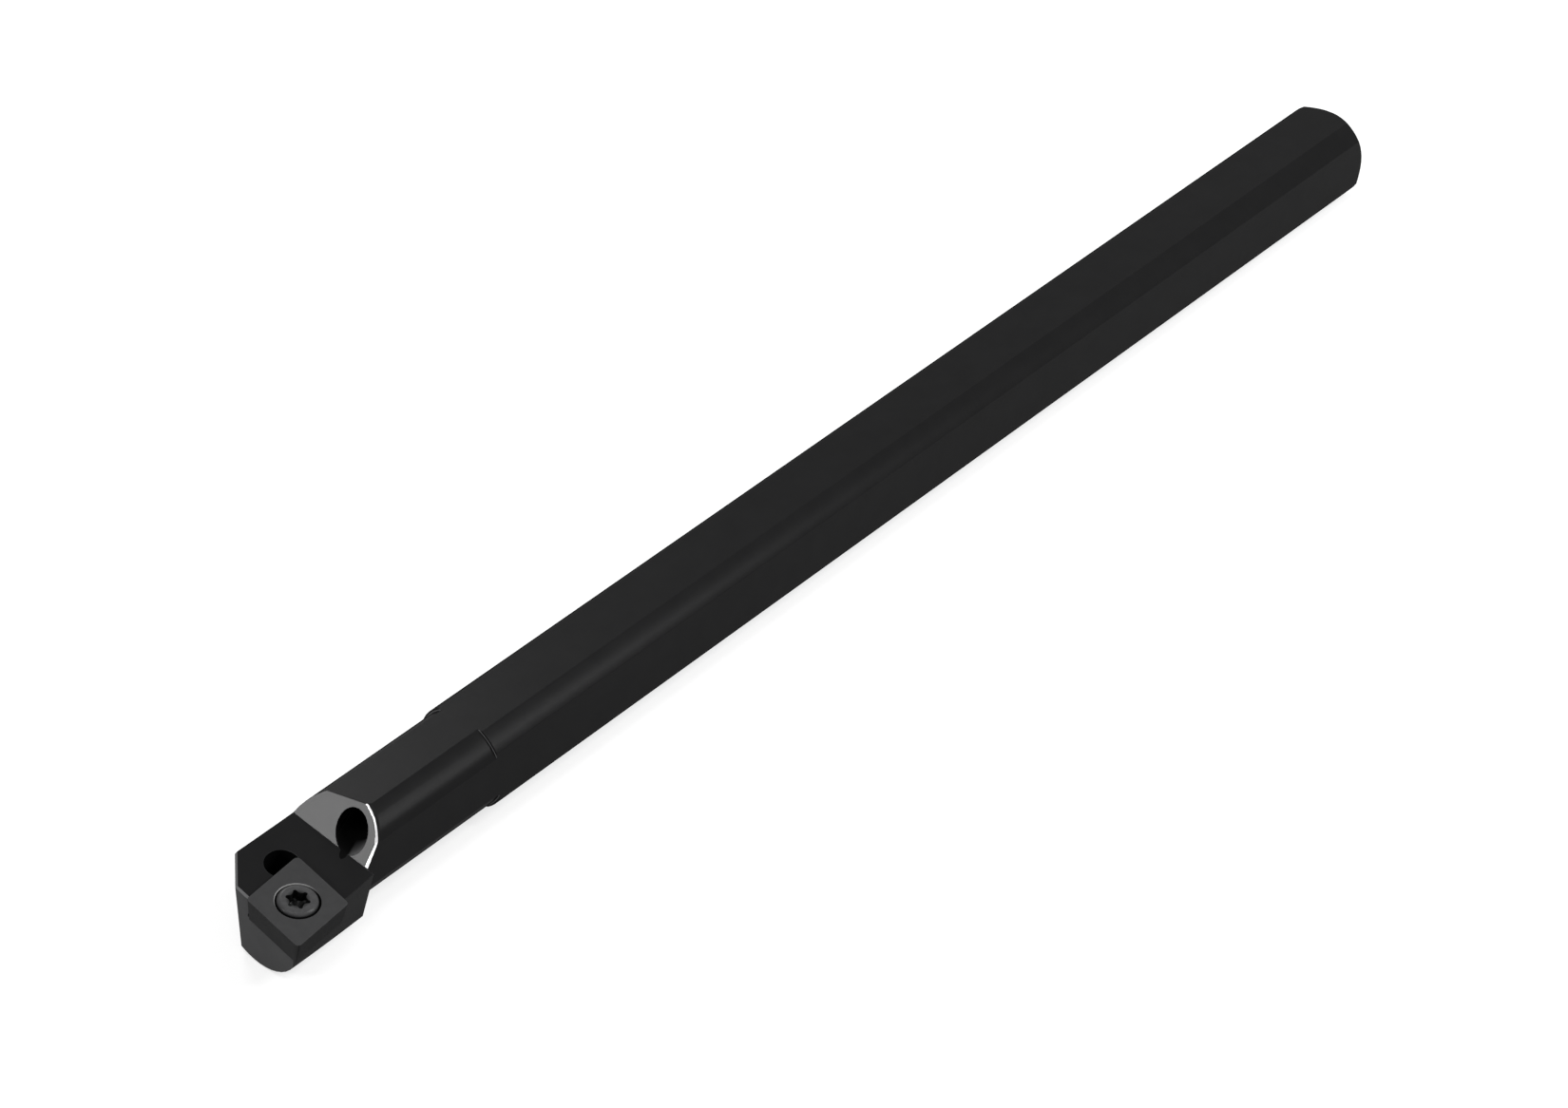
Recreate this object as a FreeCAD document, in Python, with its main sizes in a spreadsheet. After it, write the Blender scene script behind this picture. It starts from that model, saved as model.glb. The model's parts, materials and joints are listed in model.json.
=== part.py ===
import FreeCAD, Part
import math
import os
import Sketcher

# Boring bar with one clamped insert: a one-piece steel bar, an indexable insert and its screw.
# Origin: centre of the shank's rear face. +X along the bar to the head, +Y the cutting side, +Z up.
# The cutting tip stands at X = total_length, Z = 0. Every length is in millimetres.

doc = FreeCAD.newDocument("boring_bar")
sheet = doc.addObject("Spreadsheet::Sheet", "dims")

# Driving sizes: alias, value or formula, meaning.
SIZES = [
    ("total_length", "152.4", "rear face to cutting tip"),
    ("shank_r", "4.7625", "shank radius"),
    ("neck_r", "4.5", "radius of the relieved neck"),
    ("neck_reach", "26.1", "tip to the step between neck and shank"),
    ("rear_chamfer", "0.75", "chamfer on the rear end, 45 degrees"),
    ("top_flat", "4.0", "height of the top flat above the axis"),
    ("bottom_flat", "4.0", "depth of the bottom flat under the axis"),
    ("side_flat", "4.1", "distance of the side flat from the axis"),
    ("head_r", "5.28", "radius of the off-centre head"),
    ("head_offset", "0.81", "shift of the head towards the cutting side"),
    ("head_drop", "0.13", "shift of the head downwards"),
    ("shoulder_reach", "10.33", "tip to the shoulder behind the head, on the axis"),
    ("shoulder_lean", "9.8", "lean of the shoulder, degrees: further forward as it goes down"),
    ("reach_f", "6.5", "tip to the bar's axis, across"),
    ("nose_r", "0.4", "nose radius of the insert"),
    ("insert_ic", "6.35", "inscribed circle of the insert"),
    ("insert_thick", "2.38", "thickness of the insert"),
    ("insert_angle", "80", "included angle at the cutting corner"),
    ("insert_relief", "7", "flank relief of the insert, degrees"),
    ("lead_angle", "5", "turn of the insert away from the bar's axis"),
    ("radial_tilt", "12.5", "tilt of the rake plane about the bar's axis"),
    ("insert_proud", "0.335", "insert top above the gullet floor"),
    ("insert_hole_r", "1.4", "hole through the insert"),
    ("sink_r", "1.92", "mouth radius of the insert's countersink"),
    ("sink_half", "30", "half angle of the countersink, degrees"),
    ("pocket_gap", "0.03", "gap between insert flank and pocket wall"),
    ("groove_wide", "0.2", "relief groove beyond the pocket wall"),
    ("groove_high", "0.32", "height of the relief groove"),
    ("wall_clear", "0.02", "foot of the gullet wall in front of the shoulder, on the axis"),
    ("wall_slope", "41.5", "lean of the gullet wall, degrees"),
    ("front_gap", "0.943", "tip plane to front face, on the axis"),
    ("corner_cut", "0.45", "place of the 45 degree corner cut"),
    ("side_face", "4.99", "side face under the insert, across the tilted plane"),
    ("side_face_at", "8.18", "distance behind the tip where side_face holds"),
    ("relief_hole_r", "1.5", "drilled hole at the pocket's inner corner"),
    ("relief_hole_back", "5.64", "its centre behind the tip"),
    ("relief_hole_side", "-1.007", "its centre across the tilted plane"),
    ("relief_hole_deep", "1.0", "its depth under the insert seat"),
    ("outlet_r", "1.466", "coolant outlet in the gullet wall"),
    ("outlet_behind", "1.21", "its centre on the wall, behind the wall's foot"),
    ("outlet_side", "1.525", "its centre across"),
    ("outlet_high", "2.10", "its centre above the axis"),
    ("outlet_yaw", "22", "turn of the outlet towards the cutting tip"),
    ("outlet_lead", "3.5", "cut in front of the wall, leaves the trough"),
    ("outlet_deep", "6.4", "depth of the outlet behind the wall"),
    ("coolant_r", "1.5", "coolant bore along the shank"),
    ("coolant_behind", "3.89", "blind end of the coolant bore, behind the wall's foot"),
    ("floor_edge", "0.2", "bevel of the gullet floor at the front and the corner cut"),
    ("wall_edge", "0.22", "bevel on the outer edge of the gullet wall"),
    ("screw_hole_r", "1.26", "tapped hole for the insert screw, major radius"),
    ("screw_r", "1.25", "screw thread, major radius"),
    ("screw_head_r", "1.75", "screw head radius"),
    ("screw_proud", "0.25", "screw head above the insert's top"),
    ("head_round", "0.42", "rounded rim of the screw head"),
    ("screw_gap", "0.005", "play between head cone and countersink"),
    ("screw_length", "6.2", "screw, head top to tip"),
    ("screw_end", "0.25", "chamfer at the screw's tip"),
    ("lobe_out", "1.03", "six-lobe recess, outer radius"),
    ("lobe_in", "0.72", "six-lobe recess, inner radius"),
    ("lobe_flank", "0.40", "six-lobe recess, radius of the inward arcs"),
    ("lobe_deep", "1.0", "depth of the recess"),
    ("cut_far", "9", "half width of the cutting regions"),
    # Derived sizes.
    ("step_x", "=total_length - neck_reach", "step between neck and shank"),
    ("shoulder_x", "=total_length - shoulder_reach", "shoulder on the axis"),
    ("shoulder_slope", "=tan(shoulder_lean)", ""),
    ("rear_face_r", "=shank_r - rear_chamfer", "radius of the rear face"),
    ("cut_near", "=-cut_far", ""),
    ("shoulder_high_x", "=shoulder_x - shoulder_slope * cut_far", "shoulder plane at height cut_far"),
    ("shoulder_low_x", "=shoulder_x + shoulder_slope * cut_far", "shoulder plane at depth cut_far"),
    ("head_start_x", "=shoulder_high_x - 1", "start of the head before the shoulder is cut"),
    ("head_pad", "=total_length - head_start_x + 1", "length of the head before facing"),
    ("head_end_x", "=total_length + 1", "end of the neck's round before facing"),
    ("head_level", "=-head_drop", ""),
    ("past_rear", "=-1", "cut start behind the rear face"),
    ("past_front", "=total_length + 3", "cut end in front of the tip"),
    ("bottom_level", "=-bottom_flat", ""),
    ("bottom_end_x", "=shoulder_x + shoulder_slope * bottom_flat", "end of the bottom flat"),
    ("side_flat_back", "=-side_flat", ""),
    ("tilt_sin", "=sin(radial_tilt)", ""),
    ("tilt_cos", "=cos(radial_tilt)", ""),
    ("lead_sin", "=sin(lead_angle)", "direction of the insert's side edge"),
    ("lead_cos", "=cos(lead_angle)", ""),
    ("front_angle", "=insert_angle + lead_angle", "direction of the insert's front edge"),
    ("front_sin", "=sin(front_angle)", ""),
    ("front_cos", "=cos(front_angle)", ""),
    ("spin", "=insert_angle / 2 + lead_angle", "direction of the insert's long diagonal"),
    ("spin_sin", "=sin(spin)", ""),
    ("spin_cos", "=cos(spin)", ""),
    ("front_slope", "=front_cos / front_sin / tilt_cos", "front face runs parallel to the front edge"),
    ("front_axis_x", "=total_length - front_gap", ""),
    ("front_near_x", "=front_axis_x + front_slope * cut_far", ""),
    ("front_far_x", "=front_axis_x - front_slope * cut_far", ""),
    ("corner_far_x", "=total_length + corner_cut - cut_far", ""),
    ("corner_out_x", "=total_length + corner_cut + 2", ""),
    ("corner_out_y", "=2", ""),
    ("side_slope", "=lead_sin / lead_cos", "side face runs parallel to the side edge"),
    ("side_back_x", "=shoulder_high_x", ""),
    ("side_back_w", "=side_face + side_slope * (side_back_x - total_length + side_face_at)", ""),
    ("side_front_w", "=side_face + side_slope * (past_front - total_length + side_face_at)", ""),
    # Insert and pocket, in the tilted plane: X along the bar, w across it, t at right angles to the plane.
    ("nose_back", "=nose_r / sin(insert_angle / 2)", "sharp corner to the centre of the nose"),
    ("corner_x", "=total_length - nose_r + nose_back * spin_cos", "sharp corner of the insert"),
    ("insert_side", "=insert_ic / sin(insert_angle)", "side length of the rhomb"),
    ("half_long", "=insert_side * cos(insert_angle / 2)", "centre to cutting corner"),
    ("half_short", "=insert_side * sin(insert_angle / 2)", "centre to blunt corner"),
    ("corner_y", "=reach_f + (nose_back * spin_sin - nose_r) * tilt_cos", ""),
    ("corner_w", "=corner_y * tilt_cos", "sharp corner, across the tilted plane"),
    ("rake_t", "=corner_y * tilt_sin", "rake plane above the axis, square to the plane"),
    ("seat_t", "=rake_t - insert_thick", "insert seat"),
    ("floor_t", "=rake_t - insert_proud", "gullet floor"),
    ("centre_x", "=corner_x - half_long * spin_cos", "insert centre"),
    ("centre_w", "=corner_w - half_long * spin_sin", "insert centre, across"),
    ("rake_y", "=rake_t * tilt_sin", ""),
    ("rake_z", "=rake_t * tilt_cos", ""),
    ("centre_y", "=centre_w * tilt_cos + rake_y", "insert centre, on its top"),
    ("centre_z", "=rake_z - centre_w * tilt_sin", ""),
    ("seat_y", "=seat_t * tilt_sin", ""),
    ("seat_z", "=seat_t * tilt_cos", ""),
    ("floor_y", "=floor_t * tilt_sin", ""),
    ("floor_z", "=floor_t * tilt_cos", ""),
    ("back_grow", "=pocket_gap / sin(insert_angle / 2)", "pocket corner beyond the insert corner"),
    ("pocket_x", "=centre_x - (half_long + back_grow) * spin_cos", "pocket's inner corner"),
    ("pocket_w", "=centre_w - (half_long + back_grow) * spin_sin", ""),
    ("pocket_run", "=12", "pocket sides, open towards front and side"),
    ("pocket_front_x", "=pocket_x + pocket_run * lead_cos", ""),
    ("pocket_front_w", "=pocket_w + pocket_run * lead_sin", ""),
    ("pocket_side_x", "=pocket_x + pocket_run * front_cos", ""),
    ("pocket_side_w", "=pocket_w + pocket_run * front_sin", ""),
    ("pocket_far_x", "=pocket_front_x + pocket_run * front_cos", ""),
    ("pocket_far_w", "=pocket_front_w + pocket_run * front_sin", ""),
    ("groove_grow", "=(groove_wide - insert_thick * tan(insert_relief)) / sin(insert_angle / 2)", ""),
    ("groove_x", "=pocket_x - groove_grow * spin_cos", "inner corner of the relief groove"),
    ("groove_w", "=pocket_w - groove_grow * spin_sin", ""),
    ("groove_front_x", "=groove_x + pocket_run * lead_cos", ""),
    ("groove_front_w", "=groove_w + pocket_run * lead_sin", ""),
    ("groove_side_x", "=groove_x + pocket_run * front_cos", ""),
    ("groove_side_w", "=groove_w + pocket_run * front_sin", ""),
    ("groove_far_x", "=groove_front_x + pocket_run * front_cos", ""),
    ("groove_far_w", "=groove_front_w + pocket_run * front_sin", ""),
    ("wall_foot_x", "=shoulder_x + wall_clear", "foot of the gullet wall"),
    ("wall_top_t", "=8", ""),
    ("wall_top_x", "=wall_foot_x - (wall_top_t - floor_t) * tan(wall_slope)", ""),
    ("relief_hole_x", "=total_length - relief_hole_back", ""),
    ("relief_hole_t", "=insert_thick - insert_proud + relief_hole_deep", "depth under the floor"),
    ("outlet_x", "=wall_foot_x - outlet_behind + outlet_lead * cos(outlet_yaw)", "start of the outlet cut"),
    ("outlet_y", "=outlet_side + outlet_lead * sin(outlet_yaw)", ""),
    ("outlet_long", "=outlet_lead + outlet_deep", ""),
    ("coolant_long", "=wall_foot_x - coolant_behind", ""),
    # Insert and screw about their own axis, top of the insert at height 0.
    ("insert_under", "=-insert_thick - 0.5", ""),
    ("insert_over", "=0.5", ""),
    ("sink_over_r", "=sink_r + insert_over * tan(sink_half)", ""),
    ("sink_base", "=-(sink_r - insert_hole_r) / tan(sink_half)", ""),
    ("head_land", "=-(sink_r - screw_gap - screw_head_r) / tan(sink_half)", "foot of the head's land"),
    ("head_foot", "=-(sink_r - screw_gap - screw_r) / tan(sink_half)", "foot of the head cone"),
    ("screw_tip", "=screw_proud - screw_length", ""),
    ("screw_tip_up", "=screw_tip + screw_end", ""),
    ("screw_tip_r", "=screw_r - screw_end", ""),
    ("flank_x", "=(lobe_in + lobe_flank) * cos(30)", "centre of the inward arcs"),
    ("flank_y", "=(lobe_in + lobe_flank) * sin(30)", ""),
    ("lobe_top", "=lobe_out * lobe_out + (lobe_in + lobe_flank)^2 - 2 * lobe_out * flank_x", ""),
    ("lobe_round", "=(lobe_top - lobe_flank^2) / (2 * lobe_flank + 2 * lobe_out - 2 * flank_x)", ""),
    ("lobe_mid", "=lobe_out - lobe_round", "centre of the outward arcs"),
]

for row, (alias, value, meaning) in enumerate(SIZES, start=1):
    sheet.set("A%d" % row, alias)
    sheet.set("B%d" % row, value)
    sheet.set("C%d" % row, meaning)
    sheet.setAlias("B%d" % row, alias)
doc.recompute()
normal = FreeCAD.Vector(0, 0, 1)


def size(alias):
    """Value of a named size."""
    return float(sheet.get(alias))


def bind(owner, path, alias):
    """Tie a property to a named size."""
    owner.setExpression(path, "dims." + alias)


def new_body(name):
    """Body with its file name as label."""
    body = doc.addObject("PartDesign::Body", name)
    body.Label = name
    return body


def new_sketch(body, name, plane, place=(None, None, None), turn=None, about=(-1, 0, 0)):
    """Sketch on an origin plane, moved by named sizes and turned by a named angle."""
    sketch = body.newObject("Sketcher::SketchObject", name)
    for feature in body.Origin.OriginFeatures:
        if feature.Role == plane:
            sketch.AttachmentSupport = (feature, [""])
    sketch.MapMode = "FlatFace"
    values = [size(alias) if alias else 0.0 for alias in place]
    rotation = FreeCAD.Rotation(FreeCAD.Vector(*about), size(turn) if turn else 0.0)
    sketch.AttachmentOffset = FreeCAD.Placement(FreeCAD.Vector(*values), rotation)
    for axis, alias in zip("xyz", place):
        if alias:
            sketch.setExpression("AttachmentOffset.Base." + axis, "dims." + alias)
    if turn:
        sketch.setExpression("AttachmentOffset.Rotation.Angle", "dims.%s * 1 deg" % turn)
    return sketch


def fix_point(sketch, item, corner, alias_x, alias_y, tag):
    """Place one point of a sketch by two named sizes, or on an axis where the name is None."""
    for kind, alias, axis in (("DistanceX", alias_x, -2), ("DistanceY", alias_y, -1)):
        if alias is None:
            sketch.addConstraint(Sketcher.Constraint("PointOnObject", item, corner, axis))
            continue
        index = sketch.addConstraint(Sketcher.Constraint(kind, -1, 1, item, corner, size(alias)))
        label = "%s_%s" % (tag, kind[-1].lower())
        sketch.renameConstraint(index, label)
        sketch.setExpression("Constraints." + label, "dims." + alias)


def polygon(sketch, corners):
    """Closed outline through named corners."""
    points = []
    for alias_x, alias_y in corners:
        x = size(alias_x) if alias_x else 0.0
        y = size(alias_y) if alias_y else 0.0
        points.append(FreeCAD.Vector(x, y, 0))
    count = len(points)
    for i in range(count):
        sketch.addGeometry(Part.LineSegment(points[i], points[(i + 1) % count]), False)
    for i in range(count):
        sketch.addConstraint(Sketcher.Constraint("Coincident", i, 2, (i + 1) % count, 1))
    for i, (alias_x, alias_y) in enumerate(corners):
        fix_point(sketch, i, 1, alias_x, alias_y, "corner%d" % i)


def circle(sketch, alias_x, alias_y, alias_r):
    """Circle with a named centre and radius."""
    x = size(alias_x) if alias_x else 0.0
    y = size(alias_y) if alias_y else 0.0
    item = sketch.addGeometry(Part.Circle(FreeCAD.Vector(x, y, 0), normal, size(alias_r)), False)
    fix_point(sketch, item, 3, alias_x, alias_y, "centre")
    index = sketch.addConstraint(Sketcher.Constraint("Radius", item, size(alias_r)))
    sketch.renameConstraint(index, "round_r")
    sketch.setExpression("Constraints.round_r", "dims." + alias_r)


def volume(body):
    """Volume of the body as it stands."""
    doc.recompute()
    return body.Shape.Volume


def cut(body, name, sketch, length, both=False, back=False, taper=None):
    """Pocket of a named depth, or to both sides of its sketch. Fails if it takes nothing away."""
    before = volume(body)
    pocket = body.newObject("PartDesign::Pocket", name)
    pocket.Profile = sketch
    pocket.Type = 0
    bind(pocket, "Length", length)
    pocket.Midplane = both
    pocket.Reversed = back
    if taper:
        pocket.setExpression("TaperAngle", "-dims." + taper)
    after = volume(body)
    if not after < before - 1e-6:
        raise RuntimeError("%s cuts nothing" % name)
    return pocket


def turn_about(body, name, kind, sketch, axis):
    """Full revolution or groove about a sketch axis."""
    feature = body.newObject("PartDesign::" + kind, name)
    feature.Profile = sketch
    feature.ReferenceAxis = (sketch, [axis])
    feature.Angle = 360.0
    doc.recompute()
    return feature


# The head is a thicker round, off-centre towards the cutting side, with a leaning shoulder behind it.
bar = new_body("bar_body")
sk = new_sketch(bar, "head_circle", "YZ_Plane", (None, None, "head_start_x"))
circle(sk, "head_offset", "head_level", "head_r")
head = bar.newObject("PartDesign::Pad", "head_round")
head.Profile = sk
bind(head, "Length", "head_pad")
doc.recompute()
sk = new_sketch(bar, "shoulder_outline", "XZ_Plane")
polygon(sk, [
    ("past_rear", "cut_near"),
    ("shoulder_low_x", "cut_near"),
    ("shoulder_high_x", "cut_far"),
    ("past_rear", "cut_far"),
])
cut(bar, "shoulder_cut", sk, "total_length", both=True)

# Shank and neck are turned in one profile. The neck's round runs on along the head's far side.
sk = new_sketch(bar, "turned_profile", "XZ_Plane")
polygon(sk, [
    (None, None),
    (None, "rear_face_r"),
    ("rear_chamfer", "shank_r"),
    ("step_x", "shank_r"),
    ("step_x", "neck_r"),
    ("head_end_x", "neck_r"),
    ("head_end_x", None),
])
turn_about(bar, "turned_bar", "Revolution", sk, "H_Axis")

# Flats: top over the whole bar, bottom and cutting side up to the head.
sk = new_sketch(bar, "top_flat_outline", "XZ_Plane")
polygon(sk, [
    ("past_rear", "top_flat"),
    ("past_front", "top_flat"),
    ("past_front", "cut_far"),
    ("past_rear", "cut_far"),
])
cut(bar, "top_flat_cut", sk, "total_length", both=True)
sk = new_sketch(bar, "bottom_flat_outline", "XZ_Plane")
polygon(sk, [
    ("past_rear", "bottom_level"),
    ("bottom_end_x", "bottom_level"),
    ("shoulder_low_x", "cut_near"),
    ("past_rear", "cut_near"),
])
cut(bar, "bottom_flat_cut", sk, "total_length", both=True)
sk = new_sketch(bar, "side_flat_outline", "XZ_Plane", (None, None, "side_flat_back"))
polygon(sk, [
    ("past_rear", "cut_near"),
    ("shoulder_low_x", "cut_near"),
    ("shoulder_high_x", "cut_far"),
    ("past_rear", "cut_far"),
])
cut(bar, "side_flat_cut", sk, "cut_far")

# Front face, parallel to the insert's front edge, and the 45 degree cut on the far corner.
sk = new_sketch(bar, "front_outline", "XY_Plane")
polygon(sk, [
    ("front_far_x", "cut_near"),
    ("past_front", "cut_near"),
    ("past_front", "cut_far"),
    ("front_near_x", "cut_far"),
])
cut(bar, "front_cut", sk, "total_length", both=True)
sk = new_sketch(bar, "corner_outline", "XY_Plane")
polygon(sk, [("corner_far_x", "cut_near"), ("corner_out_x", "cut_near"), ("corner_out_x", "corner_out_y")])
cut(bar, "corner_cut_face", sk, "total_length", both=True)

# Side face under the insert: square to the tilted rake plane and parallel to the insert's side edge.
sk = new_sketch(bar, "side_outline", "XY_Plane", turn="radial_tilt")
polygon(sk, [
    ("side_back_x", "side_back_w"),
    ("past_front", "side_front_w"),
    ("past_front", "cut_far"),
    ("side_back_x", "cut_far"),
])
cut(bar, "side_face_cut", sk, "total_length", both=True)

# Gullet: floor parallel to the rake plane, back wall leaning to the rear.
sk = new_sketch(bar, "gullet_profile", "XZ_Plane", turn="radial_tilt")
polygon(sk, [
    ("wall_foot_x", "floor_t"),
    ("past_front", "floor_t"),
    ("past_front", "wall_top_t"),
    ("wall_top_x", "wall_top_t"),
])
cut(bar, "gullet_cut", sk, "total_length", both=True)

# Coolant: a long bore up the shank and a short outlet aimed at the cutting tip.
sk = new_sketch(bar, "coolant_circle", "YZ_Plane")
circle(sk, None, None, "coolant_r")
cut(bar, "coolant_bore", sk, "coolant_long", back=True)
place = ("outlet_y", "outlet_high", "outlet_x")
sk = new_sketch(bar, "outlet_circle", "YZ_Plane", place, turn="outlet_yaw", about=(0, 1, 0))
circle(sk, None, None, "outlet_r")
cut(bar, "outlet_bore", sk, "outlet_long")

# Insert pocket, open to the front and the side, with a relief groove along the foot of its walls.
sk = new_sketch(bar, "pocket_outline", "XY_Plane", (None, "rake_y", "rake_z"), turn="radial_tilt")
polygon(sk, [
    ("pocket_x", "pocket_w"),
    ("pocket_front_x", "pocket_front_w"),
    ("pocket_far_x", "pocket_far_w"),
    ("pocket_side_x", "pocket_side_w"),
])
cut(bar, "pocket_cut", sk, "insert_thick", taper="insert_relief")
sk = new_sketch(bar, "groove_outline", "XY_Plane", (None, "seat_y", "seat_z"), turn="radial_tilt")
polygon(sk, [
    ("groove_x", "groove_w"),
    ("groove_front_x", "groove_front_w"),
    ("groove_far_x", "groove_far_w"),
    ("groove_side_x", "groove_side_w"),
])
cut(bar, "groove_cut", sk, "groove_high", back=True)

# Drilled relief at the pocket's inner corner, and the tapped hole under the insert.
sk = new_sketch(bar, "relief_circle", "XY_Plane", (None, "floor_y", "floor_z"), turn="radial_tilt")
circle(sk, "relief_hole_x", "relief_hole_side", "relief_hole_r")
cut(bar, "relief_hole", sk, "relief_hole_t")
sk = new_sketch(bar, "screw_circle", "XY_Plane", (None, "seat_y", "seat_z"), turn="radial_tilt")
circle(sk, "centre_x", "centre_w", "screw_hole_r")
cut(bar, "screw_hole", sk, "cut_far")


def tilted(point):
    """Height of a point above the tilted plane through the axis."""
    return point.y * size("tilt_sin") + point.z * size("tilt_cos")


def on_floor(point):
    return abs(tilted(point) - size("floor_t")) < 1e-4


def on_wall(point):
    run = (tilted(point) - size("floor_t")) * math.tan(math.radians(size("wall_slope")))
    return abs(point.x - (size("wall_foot_x") - run)) < 1e-4


def on_front(point):
    return abs(point.x - (size("front_axis_x") + size("front_slope") * point.y)) < 1e-4


def on_corner(point):
    return abs(point.x - point.y - size("total_length") - size("corner_cut")) < 1e-4


def on_front_or_corner(point):
    return on_front(point) or on_corner(point)


def on_side(point):
    on_round = abs(math.hypot(point.y, point.z) - size("neck_r")) < 1e-4
    return (on_round or abs(point.y - size("side_flat")) < 1e-4) and point.y > 0


def on_head_top(point):
    return abs(point.z - size("screw_proud")) < 1e-4


def edges_where(shape, *tests):
    """Names of the edges whose sample points pass every test."""
    names = []
    for number, edge in enumerate(shape.Edges, start=1):
        first, last = edge.FirstParameter, edge.LastParameter
        samples = [edge.valueAt(first + (last - first) * k / 4.0) for k in range(5)]
        if all(test(point) for test in tests for point in samples):
            names.append("Edge%d" % number)
    return names


def bevel(body, name, alias, *tests):
    """Chamfer of a named width on the edges found by their place."""
    doc.recompute()
    base = body.Tip
    names = edges_where(base.Shape, *tests)
    if not names:
        raise RuntimeError("%s finds no edge" % name)
    feature = body.newObject("PartDesign::Chamfer", name)
    feature.Base = (base, names)
    bind(feature, "Size", alias)
    doc.recompute()
    return feature


bevel(bar, "floor_bevel", "floor_edge", on_floor, on_front_or_corner)
bevel(bar, "wall_side_bevel", "wall_edge", on_wall, on_side)

# The insert: an 80 degree rhomb with rounded corners and 7 degree flanks, top face at height 0.
insert = new_body("insert")
sk = new_sketch(insert, "rhomb_outline", "XY_Plane", turn="spin", about=(0, 0, 1))
long_half, short_half, nose = size("half_long"), size("half_short"), size("nose_r")
half_angle = math.radians(size("insert_angle") / 2)
arcs = []
for quarter in range(4):
    half = half_angle if quarter % 2 == 0 else math.pi / 2 - half_angle
    middle = math.radians(90.0 * quarter)
    reach = (long_half if quarter % 2 == 0 else short_half) - nose / math.sin(half)
    spread = math.pi / 2 - half
    centre = FreeCAD.Vector(reach * math.cos(middle), reach * math.sin(middle), 0)
    arcs.append((centre, middle - spread, middle + spread))
for centre, first, last in arcs:
    sk.addGeometry(Part.ArcOfCircle(Part.Circle(centre, normal, nose), first, last), False)
for i in range(4):
    c0, _, last = arcs[i]
    c1, first, _ = arcs[(i + 1) % 4]
    p0 = c0 + FreeCAD.Vector(math.cos(last), math.sin(last), 0) * nose
    p1 = c1 + FreeCAD.Vector(math.cos(first), math.sin(first), 0) * nose
    sk.addGeometry(Part.LineSegment(p0, p1), False)
for i in range(4):
    sk.addConstraint(Sketcher.Constraint("Tangent", i, 2, 4 + i, 1))
    sk.addConstraint(Sketcher.Constraint("Tangent", 4 + i, 2, (i + 1) % 4, 1))
index = sk.addConstraint(Sketcher.Constraint("Radius", 0, nose))
sk.renameConstraint(index, "nose")
sk.setExpression("Constraints.nose", "dims.nose_r")
for i in range(1, 4):
    sk.addConstraint(Sketcher.Constraint("Equal", 0, i))
sk.addConstraint(Sketcher.Constraint("PointOnObject", 0, 3, -1))
sk.addConstraint(Sketcher.Constraint("PointOnObject", 1, 3, -2))
sk.addConstraint(Sketcher.Constraint("Symmetric", 0, 3, 2, 3, -1, 1))
sk.addConstraint(Sketcher.Constraint("Symmetric", 1, 3, 3, 3, -1, 1))
for item, kind, text in ((0, "DistanceX", "dims.half_long - dims.nose_r / sin(dims.insert_angle / 2)"),
                         (1, "DistanceY", "dims.half_short - dims.nose_r / cos(dims.insert_angle / 2)")):
    value = arcs[item][0].x if kind == "DistanceX" else arcs[item][0].y
    index = sk.addConstraint(Sketcher.Constraint(kind, -1, 1, item, 3, value))
    sk.renameConstraint(index, "arc_%d" % item)
    sk.setExpression("Constraints.arc_%d" % item, text)
pad = insert.newObject("PartDesign::Pad", "insert_block")
pad.Profile = sk
bind(pad, "Length", "insert_thick")
pad.Reversed = True
pad.setExpression("TaperAngle", "-dims.insert_relief")
doc.recompute()
sk = new_sketch(insert, "sink_profile", "XZ_Plane")
polygon(sk, [
    (None, "insert_under"),
    ("insert_hole_r", "insert_under"),
    ("insert_hole_r", "sink_base"),
    ("sink_over_r", "insert_over"),
    (None, "insert_over"),
])
turn_about(insert, "insert_sink", "Groove", sk, "V_Axis")

# The screw: conical head that seats in the countersink, plain shank at thread size, six-lobe recess.
screw = new_body("insert_screw")
sk = new_sketch(screw, "screw_profile", "XZ_Plane")
polygon(sk, [
    (None, "screw_tip"),
    ("screw_tip_r", "screw_tip"),
    ("screw_r", "screw_tip_up"),
    ("screw_r", "head_foot"),
    ("screw_head_r", "head_land"),
    ("screw_head_r", "screw_proud"),
    (None, "screw_proud"),
])
turned = turn_about(screw, "screw_turned", "Revolution", sk, "V_Axis")
rim = screw.newObject("PartDesign::Fillet", "head_rim")
rim.Base = (turned, edges_where(turned.Shape, on_head_top))
bind(rim, "Radius", "head_round")
doc.recompute()
sk = new_sketch(screw, "lobe_outline", "XY_Plane", (None, None, "screw_proud"))
flank = size("lobe_flank")
lobe = size("lobe_round")
low = FreeCAD.Vector(size("flank_x"), -size("flank_y"), 0)
mid = FreeCAD.Vector(size("lobe_mid"), 0, 0)
high = FreeCAD.Vector(size("flank_x"), size("flank_y"), 0)
to_mid = math.atan2(mid.y - low.y, mid.x - low.x)
to_end = 2 * math.pi - to_mid
touch_high = high + (mid - high) * (flank / (flank + lobe))
start_low = low * (size("lobe_in") / low.Length)
start_high = high * (size("lobe_in") / high.Length)
swing = math.atan2(touch_high.y - mid.y, touch_high.x - mid.x)
sk.addGeometry(Part.LineSegment(FreeCAD.Vector(0, 0, 0), start_low), False)
sk.addGeometry(Part.ArcOfCircle(Part.Circle(low, normal, flank), to_mid, math.radians(150)), False)
sk.addGeometry(Part.ArcOfCircle(Part.Circle(mid, normal, lobe), -swing, swing), False)
sk.addGeometry(Part.ArcOfCircle(Part.Circle(high, normal, flank), math.radians(210), to_end), False)
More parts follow.
